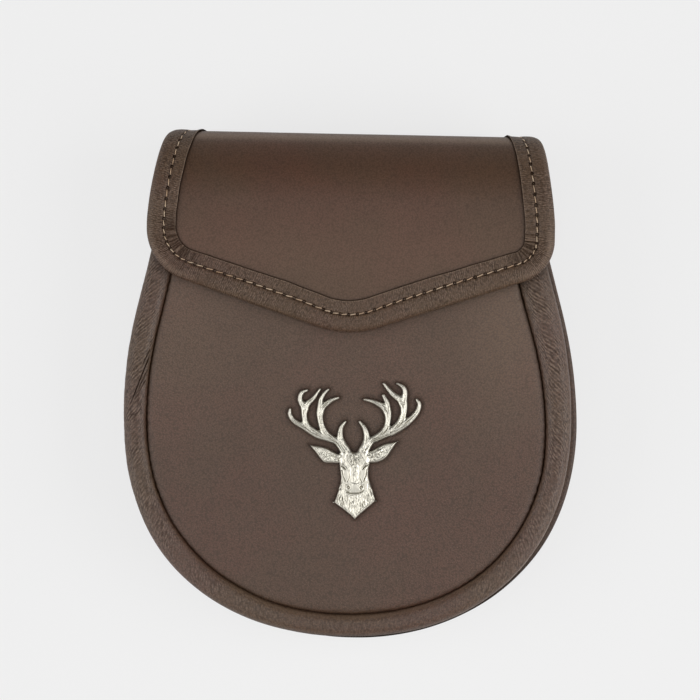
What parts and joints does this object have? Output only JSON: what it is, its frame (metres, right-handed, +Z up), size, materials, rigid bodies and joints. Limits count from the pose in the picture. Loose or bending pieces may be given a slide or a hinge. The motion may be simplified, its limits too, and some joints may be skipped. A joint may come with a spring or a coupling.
{
  "type": "sporran pouch",
  "caption": "Round-bottomed leather pouch with a bound flap bent over its top, a rolled edge, a stag's head badge and a belt loop behind.",
  "frame": {"origin": "middle of the footprint, on the floor that the pouch lies on, front face up", "axes": "+X to the pouch's right as seen from its front, +Y towards its top, +Z up, out of its front; the pouch's own front is tipped 3.3 degrees about X, as it lies on its belt loop and bottom edge"},
  "size_m": [0.193, 0.215, 0.0529],
  "materials": {
    "firm_leather": "smooth dark brown leather with a fine grain and a soft sheen",
    "soft_leather": "soft dark brown leather with fine creases",
    "antique_silver": "cast, bright on the ridges and dark in the recesses",
    "dark_metal": "plain dull metal"
  },
  "bodies": {
    "root": {"back_panel": "firm_leather", "gusset": "soft_leather", "edge_roll": "soft_leather", "front_panel": "firm_leather", "flap": "firm_leather", "flap_binding": "soft_leather", "press_stud": "dark_metal", "stag_badge": "antique_silver", "belt_loop": "firm_leather"}
  },
  "joints": []
}
